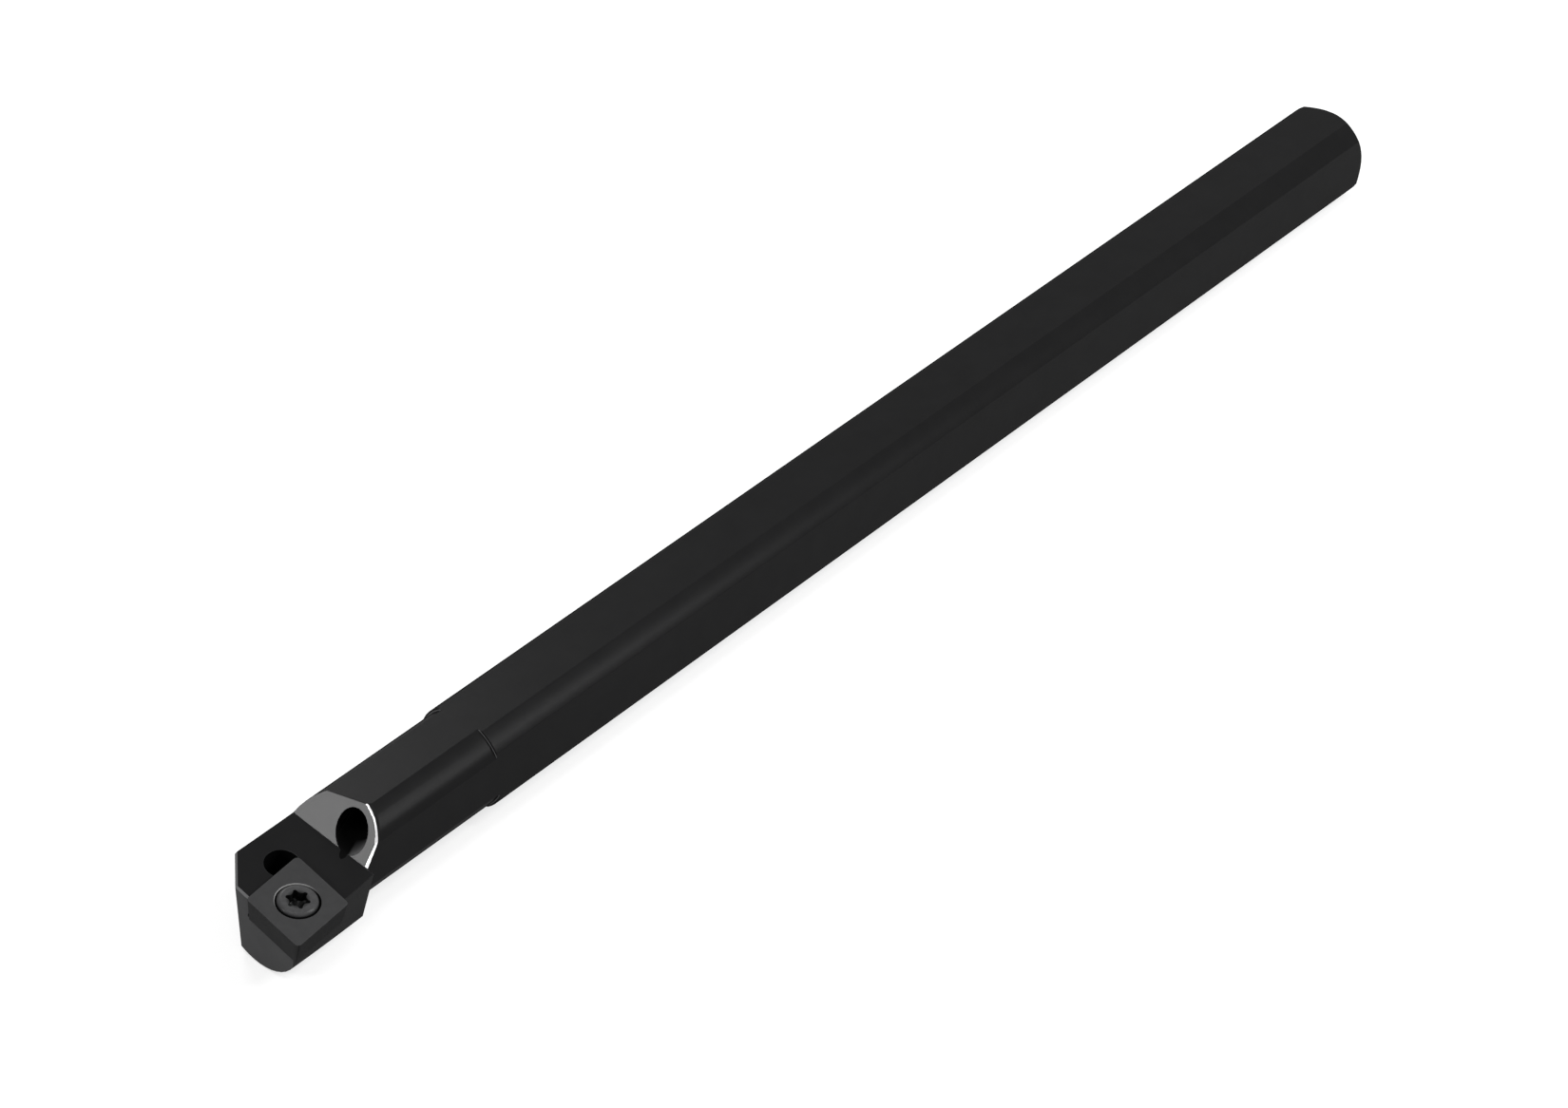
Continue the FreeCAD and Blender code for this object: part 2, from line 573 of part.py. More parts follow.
sk.addGeometry(Part.LineSegment(start_high, FreeCAD.Vector(0, 0, 0)), False)
sk.addConstraint(Sketcher.Constraint("Coincident", 0, 1, -1, 1))
sk.addConstraint(Sketcher.Constraint("Coincident", 4, 2, -1, 1))
sk.addConstraint(Sketcher.Constraint("Coincident", 0, 2, 1, 2))
sk.addConstraint(Sketcher.Constraint("Coincident", 4, 1, 3, 1))
sk.addConstraint(Sketcher.Constraint("Tangent", 1, 1, 2, 1))
sk.addConstraint(Sketcher.Constraint("Tangent", 2, 2, 3, 2))
fix_point(sk, 2, 3, "lobe_mid", None, "lobe")
for item, sign, tag in ((1, -1, "low"), (3, 1, "high")):
    for kind, alias, factor in (("DistanceX", "flank_x", 1), ("DistanceY", "flank_y", sign)):
        index = sk.addConstraint(Sketcher.Constraint(kind, -1, 1, item, 3, factor * size(alias)))
        label = tag + kind[-1]
        sk.renameConstraint(index, label)
        sk.setExpression("Constraints." + label, "%d * dims.%s" % (factor, alias))
index = sk.addConstraint(Sketcher.Constraint("Radius", 1, flank))
sk.renameConstraint(index, "flank_r")
sk.setExpression("Constraints.flank_r", "dims.lobe_flank")
sk.addConstraint(Sketcher.Constraint("PointOnObject", 1, 3, 0))
sk.addConstraint(Sketcher.Constraint("PointOnObject", 3, 3, 4))
first_lobe = cut(screw, "lobe_cut", sk, "lobe_deep")
pattern = screw.newObject("PartDesign::PolarPattern", "lobe_pattern")
pattern.Originals = [first_lobe]
for feature in screw.Origin.OriginFeatures:
    if feature.Role == "Z_Axis":
        pattern.Axis = (feature, [""])
pattern.Angle = 360.0
pattern.Occurrences = 6
screw.Tip = pattern
doc.recompute()

# Insert and screw stand in the tilted rake plane, over the centre of the pocket.
tilt = FreeCAD.Rotation(FreeCAD.Vector(-1, 0, 0), size("radial_tilt"))
for owner in (insert, screw):
    owner.Placement = FreeCAD.Placement(FreeCAD.Vector(0, 0, 0), tilt)
    bind(owner, "Placement.Base.x", "centre_x")
    bind(owner, "Placement.Base.y", "centre_y")
    bind(owner, "Placement.Base.z", "centre_z")
    owner.setExpression("Placement.Rotation.Angle", "dims.radial_tilt * 1 deg")
doc.recompute()

# Every object must be sound before the files are written.
os.makedirs("parts", exist_ok=True)
for item in doc.Objects:
    bad = [word for word in item.State if word in ("Invalid", "Error")]
    if bad:
        raise RuntimeError("%s is %s" % (item.Name, bad))
for body in (bar, insert, screw):
    shape = body.Shape
    if shape.isNull() or not shape.isValid() or len(shape.Solids) != 1:
        raise RuntimeError("%s has no sound solid" % body.Label)
    shape.exportStep("parts/%s.step" % body.Label)
    box = shape.optimalBoundingBox(True)
    print("%-13s volume %9.3f mm3  %d faces" % (body.Label, shape.Volume, len(shape.Faces)))
    print("  x %.3f..%.3f" % (box.XMin, box.XMax))
    print("  y %.3f..%.3f" % (box.YMin, box.YMax))
    print("  z %.3f..%.3f" % (box.ZMin, box.ZMax))
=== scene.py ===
# %% [markdown]
# # A boring bar in black oxide
# The object is a slim lathe tool: a turned steel bar with three ground flats, a head with a pocket,
# a small diamond-shaped insert and the screw that clamps it. Everything here is in metres and in
# the frame of the CAD model: the origin is the centre of the bar's rear face, +X runs to the head,
# +Y is the cutting side and +Z is up.

import json
import math

import bmesh
import bpy
import numpy as np
from mathutils import Matrix, Vector

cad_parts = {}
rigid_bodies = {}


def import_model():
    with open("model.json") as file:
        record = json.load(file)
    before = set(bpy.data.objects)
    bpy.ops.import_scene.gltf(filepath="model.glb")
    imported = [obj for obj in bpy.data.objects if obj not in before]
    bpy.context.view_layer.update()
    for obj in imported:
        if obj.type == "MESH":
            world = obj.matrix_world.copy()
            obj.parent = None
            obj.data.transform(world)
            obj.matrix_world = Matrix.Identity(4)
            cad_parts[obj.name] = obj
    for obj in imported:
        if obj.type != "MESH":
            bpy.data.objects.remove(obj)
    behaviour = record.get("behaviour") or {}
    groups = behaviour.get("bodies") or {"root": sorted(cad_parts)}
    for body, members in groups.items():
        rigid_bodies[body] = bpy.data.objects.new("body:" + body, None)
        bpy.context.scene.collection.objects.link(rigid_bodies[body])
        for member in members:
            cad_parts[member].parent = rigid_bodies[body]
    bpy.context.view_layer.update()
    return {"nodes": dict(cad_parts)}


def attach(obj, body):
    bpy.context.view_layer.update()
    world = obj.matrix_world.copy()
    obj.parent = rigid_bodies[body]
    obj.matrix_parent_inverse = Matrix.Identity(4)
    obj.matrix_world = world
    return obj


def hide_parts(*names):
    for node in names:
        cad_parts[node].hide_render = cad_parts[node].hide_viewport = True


for leftover in list(bpy.data.objects):
    bpy.data.objects.remove(leftover)
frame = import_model()
nodes = frame["nodes"]

# %% [markdown]
# ## The camera
# A photo's camera can be guessed by eye or solved. Here the place, the direction and the lens were
# solved from the long straight edges of the bar, so the render's edges fall where the photo's do.
# The view is from above the head, on the cutting side, through a long lens.

# %% Place the camera
scene = bpy.context.scene
camera_data = bpy.data.cameras.new("camera")
camera_data.lens = 111.952
camera_data.sensor_width = 36.0
camera_data.clip_start, camera_data.clip_end = 0.01, 20.0
camera = bpy.data.objects.new("camera", camera_data)
scene.collection.objects.link(camera)
camera_place = Vector((0.352506, 0.230059, 0.251358))
right = Vector((-0.641962, 0.766552, -0.016807))
down = Vector((0.456285, 0.364324, -0.811833))
ahead = Vector((-0.616189, -0.528834, -0.583648))
turn = Matrix((right, -down, -ahead)).transposed()
camera.matrix_world = Matrix.Translation(camera_place) @ turn.to_4x4()
scene.camera = camera
scene.view_settings.view_transform = "Standard"
print("camera looks along", [round(c, 3) for c in ahead])

# %% [markdown]
# ## The floor and the backdrop
# The bar lies on a plain pale table. It touches the table under the head and at the rear end, and
# the head hangs lower than the shank, so the table is drawn half a degree out of level instead of
# moving the bar. To the camera and in reflections the table is lifted to white, a little more the
# further away it is, because the lamps stand near the bar. The light it gives back to the object
# stays that of a pale matt surface, so the soft shadow stays too.

# %% Helpers: one node, one empty material, and the rays that see the background
def add_node(tree, kind, **values):
    """Adds one node; a value named after an input sets it, any other sets the node's property."""
    made = tree.nodes.new(kind)
    for name, value in values.items():
        label = name.replace("_", " ")
        if label in made.inputs:
            made.inputs[label].default_value = value
        else:
            setattr(made, name, value)
    return made


def new_material(name):
    """An empty material with its output node."""
    made = bpy.data.materials.new(name)
    made.use_nodes = True
    made.node_tree.nodes.clear()
    out = made.node_tree.nodes.new("ShaderNodeOutputMaterial")
    return made, made.node_tree, out


def seen_directly(tree):
    """1 for rays of the camera, of reflections and of clear materials, 0 for the light on things."""
    path = tree.nodes.new("ShaderNodeLightPath")
    first = add_node(tree, "ShaderNodeMath", operation="MAXIMUM")
    second = add_node(tree, "ShaderNodeMath", operation="MAXIMUM")
    tree.links.new(path.outputs["Is Camera Ray"], first.inputs[0])
    tree.links.new(path.outputs["Is Glossy Ray"], first.inputs[1])
    tree.links.new(first.outputs[0], second.inputs[0])
    tree.links.new(path.outputs["Is Transmission Ray"], second.inputs[1])
    return second.outputs[0]


# %% Build the table top
HEAD_REST = (0.1428, -0.00541)  # x and z of the lowest point under the head
REAR_REST = (0.00075, -0.004)  # x and z of the bottom flat's rear end
TABLE_MIDDLE = 0.08
TABLE_GAP = 0.00002
table_slope = (HEAD_REST[1] - REAR_REST[1]) / (HEAD_REST[0] - REAR_REST[0])


def grid_mesh(name, points):
    """Mesh of a grid of points, shape (rows, columns, 3), with one four-sided face in each cell."""
    rows, columns = points.shape[:2]
    corner = np.arange(rows * columns).reshape(rows, columns)
    faces = np.stack([corner[:-1, :-1], corner[1:, :-1], corner[1:, 1:], corner[:-1, 1:]], axis=-1)
    mesh = bpy.data.meshes.new(name)
    mesh.from_pydata(points.reshape(-1, 3).tolist(), [], faces.reshape(-1, 4).tolist())
    mesh.update()
    return mesh


def table_points(half=3.0, cells=24):
    """z = z_rear + slope * (x - x_rear) - gap: a flat sheet that leans just enough to meet both ends."""
    side = np.linspace(-half, half, cells + 1)
    y, x = np.meshgrid(side, side + TABLE_MIDDLE)
    z = REAR_REST[1] + table_slope * (x - REAR_REST[0]) - TABLE_GAP
    return np.stack([x, y, z], axis=-1)


table_top = bpy.data.objects.new("table_top", grid_mesh("table_top", table_points()))
scene.collection.objects.link(table_top)
print("table leans %.2f degrees" % math.degrees(math.atan(table_slope)))

# %% Paint the table and light the surround
NEAR, FAR = 0.2, 1.4  # metres from the middle of the bar
LIFT_NEAR, LIFT_FAR = 0.66, 0.92
ROOM_LIGHT = 0.28

table_paint, tree, out = new_material("pale_table")
matt = add_node(tree, "ShaderNodeBsdfPrincipled", Base_Color=(0.45, 0.45, 0.45, 1), Roughness=0.9)
matt.inputs["Specular IOR Level"].default_value = 0.0
lift = tree.nodes.new("ShaderNodeEmission")
joined = tree.nodes.new("ShaderNodeAddShader")
where = tree.nodes.new("ShaderNodeTexCoord")
from_middle = add_node(tree, "ShaderNodeVectorMath", operation="DISTANCE")
from_middle.inputs[1].default_value = (TABLE_MIDDLE, 0.0, 0.0)
further = add_node(tree, "ShaderNodeMapRange", interpolation_type="SMOOTHSTEP")
for label, number in (("From Min", NEAR), ("From Max", FAR),
                      ("To Min", LIFT_NEAR), ("To Max", LIFT_FAR)):
    further.inputs[label].default_value = number
strength = add_node(tree, "ShaderNodeMath", operation="MULTIPLY")
tree.links.new(where.outputs["Object"], from_middle.inputs[0])
tree.links.new(from_middle.outputs["Value"], further.inputs["Value"])
tree.links.new(further.outputs["Result"], strength.inputs[1])
tree.links.new(seen_directly(tree), strength.inputs[0])
tree.links.new(strength.outputs[0], lift.inputs["Strength"])
tree.links.new(matt.outputs[0], joined.inputs[0])
tree.links.new(lift.outputs[0], joined.inputs[1])
tree.links.new(joined.outputs[0], out.inputs["Surface"])
table_top.data.materials.append(table_paint)

world = bpy.data.worlds.new("studio")
scene.world = world
world.use_nodes = True
tree = world.node_tree
tree.nodes.clear()
out = tree.nodes.new("ShaderNodeOutputWorld")
sky = add_node(tree, "ShaderNodeBackground", Color=(1, 1, 1, 1))  # white to the eye, dim as a lamp
level = add_node(tree, "ShaderNodeMapRange")
level.inputs["To Min"].default_value = ROOM_LIGHT
level.inputs["To Max"].default_value = 1.0
tree.links.new(seen_directly(tree), level.inputs["Value"])
tree.links.new(level.outputs["Result"], sky.inputs["Strength"])
tree.links.new(sky.outputs[0], out.inputs["Surface"])
print("table lift near and far:", LIFT_NEAR, LIFT_FAR, "room light:", ROOM_LIGHT)

# %% [markdown]
# ## The lamps
# Dark satin steel shows little colour of its own: what is seen of it is mostly what it mirrors. One
# big lamp overhead would light it evenly and leave it lifeless. So each lamp stands on the line on
# which one face of the head mirrors it to the camera. The one in front makes the leaning gullet wall
# grey, the one behind gives the top flat its tone, and a tall one above the cutting side draws the
# streak along the round edge. These three are mirrored near the head only, so their tones fade along
# the bar. A weak one catches the wall's bevel, and one overhead gives plain even light.

# %% Place the lamps
HEAD = Vector((0.1450, 0.0010, 0.0000))
LAMPS = (
    # name, direction from the head, distance, width, height, power
    ("wall_lamp", (0.80, -0.32, 0.51), 0.80, 0.14, 0.12, 1.5),
    ("edge_lamp", (0.43, 0.88, 0.20), 0.80, 0.10, 0.10, 0.3),
    ("band_lamp", (-0.49, 0.620, 0.615), 0.90, 0.12, 0.58, 6.6),
    ("top_lamp", (-0.44, -0.63, 0.64), 0.90, 0.24, 0.24, 1.9),
    ("over_lamp", (0.25, 0.10, 0.96), 0.90, 0.40, 0.40, 2.2),
)


def add_lamp(name, way, distance, width, height, power):
    """A rectangular lamp on the given line from the head, turned to face the head."""
    data = bpy.data.lights.new(name, "AREA")
    data.shape = "RECTANGLE"
    data.size, data.size_y = width, height
    data.energy = power
    lamp = bpy.data.objects.new(name, data)
    way = Vector(way).normalized()
    lamp.location = HEAD + way * distance
    lamp.rotation_mode = "QUATERNION"
    lamp.rotation_quaternion = way.to_track_quat("Z", "Y")
    scene.collection.objects.link(lamp)
    return lamp


lamps = [add_lamp(*row) for row in LAMPS]
print("lamps:", [lamp.name for lamp in lamps])

# %% [markdown]
# ## The bar and the insert: softened edges
# The solids of the bar and the insert have the right shape, but their edges are perfectly sharp, and
# a real edge is broken by a fine file or by tumbling, so it draws a hair of light. The shape could be
# modelled again, but it only needs that softening. So each node is copied, its loose triangles
# are merged, and a narrow Bevel rounds the edges that are marked. The facets of the turned surfaces
# meet at less than the limit angle and stay smooth. Points nearer than half the bevel's width are
# joined first, because a bevel folds over on an edge shorter than itself. Weighted normals then keep
# the flats flat to the eye, so that only the narrow bevel bends the light.

# %% Make a merged copy with softened edges
MM = 0.001
FLAT_ANGLE = math.radians(0.1)


def softened_copy(node_name, piece_name, width, joined, limit=27.0):
    """The node's mesh with points nearer than joined merged, and a Bevel on the edges above the limit.

    An edge is marked where the angle between its two faces is more than limit degrees.
    """
    shape = bmesh.new()
    shape.from_mesh(nodes[node_name].data)
    bmesh.ops.remove_doubles(shape, verts=shape.verts, dist=joined)
    bmesh.ops.dissolve_degenerate(shape, edges=shape.edges, dist=joined / 25)
    bmesh.ops.dissolve_limit(shape, angle_limit=FLAT_ANGLE, verts=shape.verts, edges=shape.edges)
    marked = np.degrees([edge.calc_face_angle(0) for edge in shape.edges]) > limit
    mesh = bpy.data.meshes.new(piece_name)
    shape.to_mesh(mesh)
    shape.free()
    weight = mesh.attributes.new("bevel_weight_edge", "FLOAT", "EDGE")
    weight.data.foreach_set("value", marked.astype(np.float32))
    mesh.shade_smooth()
    mesh.set_sharp_from_angle(angle=math.radians(limit))
    piece = bpy.data.objects.new(piece_name, mesh)
    scene.collection.objects.link(piece)
    edge = piece.modifiers.new("softened_edges", "BEVEL")
    edge.width = width
    edge.segments = 3
    edge.limit_method = "WEIGHT"
    edge.use_clamp_overlap = False
    edge.miter_outer = "MITER_ARC"
    even = piece.modifiers.new("flat_faces_stay_flat", "WEIGHTED_NORMAL")
    even.keep_sharp = True
    even.weight = 100
    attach(piece, "root")
    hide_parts(node_name)
    print(piece_name, "faces:", len(mesh.polygons), "softened edges:", int(marked.sum()))
    return piece


bar = softened_copy("bar_body", "bar_softened", width=0.04 * MM, joined=0.025 * MM)
plate = softened_copy("insert", "insert_softened", width=0.03 * MM, joined=0.0002 * MM)

# %% [markdown]
# ## The insert screw
# The screw is a small countersunk one with a rounded rim, a six-lobe socket and a metric thread
# under its head. It could be turned and cut with booleans, but its whole skin is one surface: going
# down the socket, over the rim and along the shank, each ring of points is a circle, a six-lobe
# curve, or a circle whose radius swings with the thread. So it is worked out as one grid of rings.

# %% The tilted frame of the head and the six-lobe curve
TILT = math.radians(12.5)
SCREW_CENTRE = np.array([148.94733, 3.12917, 0.75596]) * MM  # on the insert's top plane
ALONG = np.array([1.0, 0.0, 0.0])
ACROSS = np.array([0.0, math.cos(TILT), -math.sin(TILT)])
UPWARD = np.array([0.0, math.sin(TILT), math.cos(TILT)])


def six_lobe(turn, out=1.03, waist=0.72, hollow=0.40):
    """Radius of a six-lobe socket at an angle: an outward arc on each lobe and an inward arc between.

    The inward arcs have their centres at waist + hollow, half a lobe (30 degrees) round. The outward
    arc's centre lies on the lobe's middle line, where both arcs just touch.
    """
    far = waist + hollow
    side = far * math.cos(math.pi / 6)
    lobe = (out * out + far * far - 2 * out * side - hollow**2) / (2 * hollow + 2 * out - 2 * side)
    middle = out - lobe
    height = far * math.sin(math.pi / 6) * lobe / (lobe + hollow)
    width = middle + (side - middle) * lobe / (lobe + hollow)
    swap = math.atan2(height, width)
    bend = np.abs((turn + math.pi / 6) % (math.pi / 3) - math.pi / 6)
    outer = middle * np.cos(bend) + np.sqrt(np.maximum(lobe**2 - (middle * np.sin(bend))**2, 0))
    back = math.pi / 6 - bend
    inner = far * np.cos(back) - np.sqrt(np.maximum(hollow**2 - (far * np.sin(back))**2, 0))
    return np.where(bend < swap, outer, inner)


# %% Work out the screw's rings of points
SOCKET_FLOOR, SOCKET_DROP, SOCKET_EASE = -0.97, 0.22, 0.05
HEAD_RADIUS, HEAD_TOP, RIM = 1.75, 0.25, 0.42
CONE = ((1.75, -0.22), (1.75, -0.27), (1.74, -0.29), (1.70, -0.3724), (1.5, -0.7188),
        (1.30, -1.0652), (1.255, -1.135), (1.235, -1.18), (1.22, -1.25), (1.22, -1.38))
PLAIN_RADIUS, THREAD_TOP, THREAD_END, THREAD_STEP = 1.22, -1.42, -5.66, -0.0225
THREAD_MIDDLE, THREAD_HALF_DEPTH, PITCH, RUN_IN = 1.112, 0.138, 0.45, 0.35
TIP = ((1.06, -5.84), (1.0, -5.91), (0.96, -5.935), (0.90, -5.95), (0.5, -5.95), (0.15, -5.95))
TIP_END, TIP_RADIUS, TIP_SLOPE = -5.95, 1.0, 0.9


def screw_rings(columns=96):
    """Rings from the socket's bottom over the head to the tip, in mm: (radius, height) for each angle.

    Socket: the six-lobe curve times a factor, then the curve itself, then the curve eased outwards.
    Head: straight lines and a quarter circle. Thread: radius = middle + half depth * clipped triangle
    wave of (height / pitch - angle / one turn), faded in under the head and out at the tip.
    """
    turn = np.linspace(0, 2 * math.pi, columns, endpoint=False)
    lobes = six_lobe(turn)
    radius, height = [], []

    def ring(r, z):
        radius.append(np.broadcast_to(r, turn.shape).astype(float))
        height.append(np.broadcast_to(z, turn.shape).astype(float))

    flat_radius = HEAD_RADIUS - RIM
    for share in np.linspace(0.12, 1.0, 7):  # the socket's floor, slightly dished
        ring(lobes * share * 0.98, SOCKET_FLOOR + SOCKET_DROP * share)
    for z in np.linspace(-0.73, 0.19, 8):  # its six-lobe wall
        ring(lobes, z)
    for step in np.linspace(0.15, 1.0, 5) * math.pi / 2:  # its eased mouth
        ring(lobes + SOCKET_EASE * (1 - math.cos(step)), HEAD_TOP - SOCKET_EASE * (1 - math.sin(step)))
    for share in np.linspace(0.12, 1.0, 7):  # the flat of the head
        ring((lobes + SOCKET_EASE) * (1 - share) + flat_radius * share, HEAD_TOP)
    for step in np.linspace(0.07, 1.0, 14) * math.pi / 2:  # the rounded rim
        ring(flat_radius + RIM * math.sin(step), HEAD_TOP - RIM + RIM * math.cos(step))
    for r, z in CONE:
        ring(r, z)
    for z in np.arange(THREAD_TOP, THREAD_END, THREAD_STEP):
        wave = np.abs(((z / PITCH - turn / (2 * math.pi)) % 1.0) - 0.5) * 4 - 1
        body = THREAD_MIDDLE + THREAD_HALF_DEPTH * np.clip(1.45 * wave, -1, 1)
        ease = np.clip((THREAD_TOP - z) / RUN_IN, 0, 1)
        body = PLAIN_RADIUS * (1 - ease) + body * ease
        ring(np.minimum(body, TIP_RADIUS + (z - TIP_END) * TIP_SLOPE), z)
    for r, z in TIP:
        ring(r, z)
    return turn, np.array(radius), np.array(height)


def closed_rings(name, points):
    """Mesh of rings of points, shape (rings, columns, 3), joined round and closed at both ends.

    Each end gets one more point, the mean of its ring, with a fan of triangles.
    """
    rings, columns = points.shape[:2]
    ends = np.stack([points[0].mean(axis=0), points[-1].mean(axis=0)])
    corner = np.arange(rings * columns).reshape(rings, columns)
    beside = np.roll(corner, -1, axis=1)
    quads = np.stack([corner[:-1], corner[1:], beside[1:], beside[:-1]], axis=-1).reshape(-1, 4)
    first, last = rings * columns, rings * columns + 1
    top = np.stack([np.full(columns, first), corner[0], beside[0]], axis=-1)
    tip = np.stack([np.full(columns, last), beside[-1], corner[-1]], axis=-1)
    mesh = bpy.data.meshes.new(name)
    everything = np.concatenate([points.reshape(-1, 3), ends])
    mesh.from_pydata(everything.tolist(), [], quads.tolist() + top.tolist() + tip.tolist())
    mesh.update()
    return mesh


# %% Build the screw
turn_of, ring_r, ring_z = screw_rings()
place_of = np.stack([ring_r * np.cos(turn_of), ring_r * np.sin(turn_of), ring_z], axis=-1)
skin_points = SCREW_CENTRE + MM * (place_of @ np.stack([ALONG, ACROSS, UPWARD]))
screw = bpy.data.objects.new("insert_screw_threaded", closed_rings("insert_screw_threaded", skin_points))
scene.collection.objects.link(screw)
check = bmesh.new()
check.from_mesh(screw.data)
print("screw: %d rings, volume %.2f mm3" % (len(ring_r), check.calc_volume(signed=True) * 1e9))
check.free()
screw.data.shade_smooth()
screw.data.set_sharp_from_angle(angle=math.radians(50))
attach(screw, "root")
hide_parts("insert_screw")

# %% [markdown]
# ## Effects shared by the finishes
# A dark finish is only as real as the small marks in it. Three marks come back on all the pieces, so
# each is a node group: straight lines left by a grinding wheel or a turning tool, rings round an axis
# left by facing or by the teeth of a milling cutter, and the cloudy mottle of the oxide. A fourth
# group finds the edges, where handling rubs the dark skin a little lighter. The groups only give
# numbers; each material decides what they do to its colour, its roughness and its height.

# %% Helpers: link or set a socket, and start a node group
def put(tree, socket, value):
    """Links the socket to another socket, or sets it to a plain value."""
    if isinstance(value, bpy.types.NodeSocket):
        tree.links.new(value, socket)
    else:
        socket.default_value = value


def sums(tree, operation, *values):
    """One Math node on plain values or sockets."""
    node = add_node(tree, "ShaderNodeMath", operation=operation)
    for socket, value in zip(node.inputs, values):
        put(tree, socket, value)
    return node.outputs[0]


def vectors(tree, operation, *values):
    """One Vector Math node; gives the number of a length or a dot product, otherwise the vector."""
    node = add_node(tree, "ShaderNodeVectorMath", operation=operation)
    for socket, value in zip(node.inputs, values):
        put(tree, socket, value)
    return node.outputs[1 if operation in ("LENGTH", "DOT_PRODUCT") else 0]


def spread(tree, value, low, high, from_low=0.0, from_high=1.0):
    """Maps a number from one range to another, clamped at both ends."""
    node = tree.nodes.new("ShaderNodeMapRange")
    for label, number in (("Value", value), ("From Min", from_low), ("From Max", from_high),
                          ("To Min", low), ("To Max", high)):
        put(tree, node.inputs[label], number)
    return node.outputs["Result"]


def blend(tree, share, first, second, colour=False):
    """Goes from the first number or colour to the second as the share goes from 0 to 1."""
    node = add_node(tree, "ShaderNodeMix", data_type="RGBA" if colour else "FLOAT")
    place = (6, 7, 2) if colour else (2, 3, 0)
    put(tree, node.inputs[0], share)
    put(tree, node.inputs[place[0]], first)
    put(tree, node.inputs[place[1]], second)
    return node.outputs[place[2]]


def new_group(name, inputs, outputs):
    """An empty node group with named sockets, and its inner input and output nodes."""
    made = bpy.data.node_groups.new(name, "ShaderNodeTree")
    for label, kind, value in inputs:
        socket = made.interface.new_socket(label, in_out="INPUT", socket_type=kind)
        socket.default_value = value
    for label in outputs:
        made.interface.new_socket(label, in_out="OUTPUT", socket_type="NodeSocketFloat")
    return made, made.nodes.new("NodeGroupInput"), made.nodes.new("NodeGroupOutput")


def use_group(tree, group, **values):
    """Puts a node group into a material with its inputs linked or set."""
    node = tree.nodes.new("ShaderNodeGroup")
    node.node_tree = group
    for label, value in values.items():
        put(tree, node.inputs[label.replace("_", " ")], value)
    return node


# %% Make the node groups
VECTOR, NUMBER = "NodeSocketVector", "NodeSocketFloat"

# straight lines: noise on a place stretched by the wanted lines per metre in each direction
straight_lines, inside, result = new_group(
    "straight_lines", [("Place", VECTOR, (0, 0, 0)), ("Stretch", VECTOR, (60, 5000, 5000))], ["Height"])
drawn = vectors(straight_lines, "MULTIPLY", inside.outputs["Place"], inside.outputs["Stretch"])
fine = add_node(straight_lines, "ShaderNodeTexNoise", Scale=1.0, Detail=3.0, Roughness=0.6)
straight_lines.links.new(drawn, fine.inputs["Vector"])
straight_lines.links.new(fine.outputs[0], result.inputs["Height"])

# rings: noise on the distance from an axis, which is the length of (place - centre) x axis
rings_round, inside, result = new_group(
    "rings_round",
    [("Place", VECTOR, (0, 0, 0)), ("Centre", VECTOR, (0, 0, 0)), ("Axis", VECTOR, (0, 0, 1)),
     ("Lines per metre", NUMBER, 9000.0)],
    ["Height", "Radius"])
offset = vectors(rings_round, "SUBTRACT", inside.outputs["Place"], inside.outputs["Centre"])
beside = vectors(rings_round, "CROSS_PRODUCT", offset, inside.outputs["Axis"])
radius = vectors(rings_round, "LENGTH", beside)
row = rings_round.nodes.new("ShaderNodeCombineXYZ")
rings_round.links.new(
    sums(rings_round, "MULTIPLY", radius, inside.outputs["Lines per metre"]), row.inputs["X"])
fine = add_node(rings_round, "ShaderNodeTexNoise", Scale=1.0, Detail=2.0, Roughness=0.5)
rings_round.links.new(row.outputs[0], fine.inputs["Vector"])
rings_round.links.new(fine.outputs[0], result.inputs["Height"])
rings_round.links.new(radius, result.inputs["Radius"])

# mottle: soft clouds between 0 and 1, and a fine even grit
oxide_mottle, inside, result = new_group(
    "oxide_mottle", [("Place", VECTOR, (0, 0, 0)), ("Clouds per metre", NUMBER, 500.0)],
    ["Mottle", "Grit"])
clouds = add_node(oxide_mottle, "ShaderNodeTexNoise", Detail=5.0, Roughness=0.55)
grit = add_node(oxide_mottle, "ShaderNodeTexNoise", Scale=14000.0, Detail=2.0, Roughness=0.5)
for texture in (clouds, grit):
    oxide_mottle.links.new(inside.outputs["Place"], texture.inputs["Vector"])
oxide_mottle.links.new(inside.outputs["Clouds per metre"], clouds.inputs["Scale"])
oxide_mottle.links.new(
    spread(oxide_mottle, clouds.outputs[0], 0.0, 1.0, 0.3, 0.7), result.inputs["Mottle"])
oxide_mottle.links.new(grit.outputs[0], result.inputs["Grit"])

# rubbed edges: where the normal of a rounded surface leaves the true one, less the patchy share
rubbed_edges, inside, result = new_group(
    "rubbed_edges", [("Reach", NUMBER, 0.0001), ("Patchy", NUMBER, 0.5)], ["Rubbed"])
rounded = add_node(rubbed_edges, "ShaderNodeBevel", samples=6)
plain = rubbed_edges.nodes.new("ShaderNodeNewGeometry")
rubbed_edges.links.new(inside.outputs["Reach"], rounded.inputs["Radius"])
meet = vectors(rubbed_edges, "DOT_PRODUCT", rounded.outputs[0], plain.outputs["Normal"])
found = spread(rubbed_edges, meet, 1.0, 0.0, 0.86, 0.995)
patches = sums(rubbed_edges, "SUBTRACT", 1.0, inside.outputs["Patchy"])
rubbed_edges.links.new(sums(rubbed_edges, "MULTIPLY", found, patches), result.inputs["Rubbed"])
print("node groups:", sorted(group.name for group in bpy.data.node_groups))

